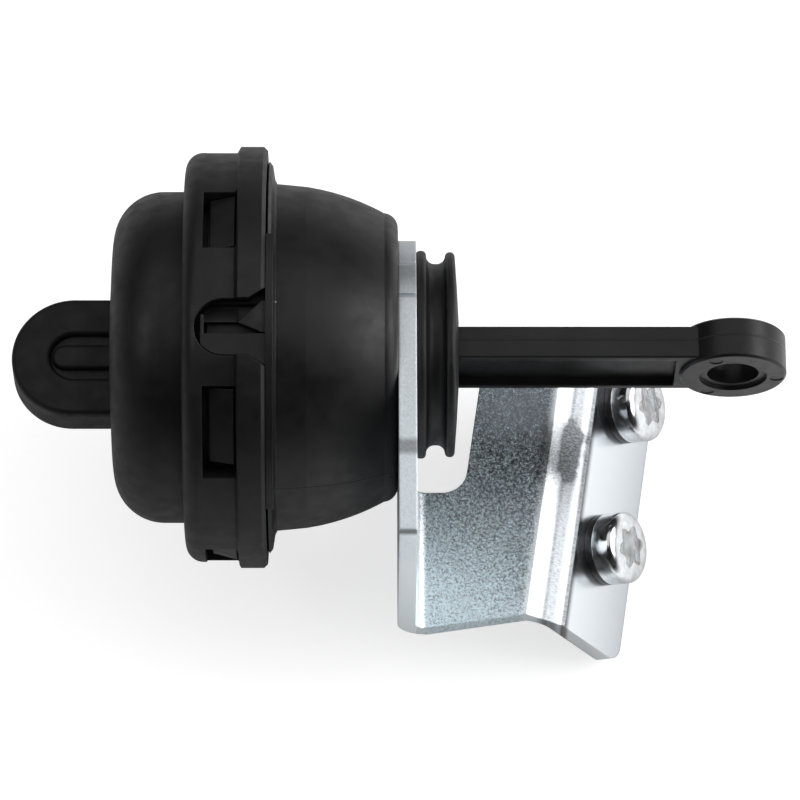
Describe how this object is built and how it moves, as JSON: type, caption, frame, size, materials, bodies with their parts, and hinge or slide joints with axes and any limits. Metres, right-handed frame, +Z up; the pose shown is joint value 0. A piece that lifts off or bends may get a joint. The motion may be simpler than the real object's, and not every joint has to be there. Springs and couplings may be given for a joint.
{
  "type": "vacuum modulator valve",
  "caption": "Vacuum modulator valve: a round black diaphragm can with an angled steel bracket, captive screws and a flat push rod ending in an eye.",
  "frame": {"origin": "centre of the hole in the rod's eye, with the rod fully out", "axes": "+X along the rod, away from the can; +Y along the hole in the eye, toward the bracket's round end; +Z up, square to both"},
  "size_m": [0.1084, 0.0624, 0.0659],
  "materials": {
    "black_plastic": "black moulded plastic, satin",
    "housing_plastic": "black moulded plastic, satin",
    "rod_plastic": "black moulded plastic, satin",
    "spool_plastic": "black moulded plastic, fine matt",
    "cup_plastic": "dark grey moulded plastic",
    "bush_plastic": "off-white slippery plastic",
    "rubber": "black rubber",
    "inner_steel": "plain steel",
    "spring_steel": "bright spring steel",
    "zinc_sheet": "zinc-plated sheet, finely mottled",
    "screw_zinc": "bright plated steel",
    "washer_dark": "dark plated steel"
  },
  "bodies": {
    "housing": {"rear_cover": "black_plastic", "front_housing": "housing_plastic", "diaphragm": "rubber", "return_spring": "spring_steel", "rubber_stop_ring": "rubber", "guide_bush": "bush_plastic", "retaining_spool": "spool_plastic", "mounting_bracket": "zinc_sheet", "mounting_screws": "screw_zinc", "screw_washers": "washer_dark"},
    "rod": {"actuating_rod": "rod_plastic", "diaphragm_cup": "cup_plastic", "clamp_plate": "inner_steel", "retaining_ring": "spring_steel"}
  },
  "joints": [
    {"name": "rod_slide", "type": "slide", "parent": "housing", "child": "rod", "axis": [-1, 0, 0], "range_m": [0, 0.01], "stiffness_N_per_m": 400, "springref_m": -0.01, "deforming": ["return_spring", "diaphragm"]}
  ]
}
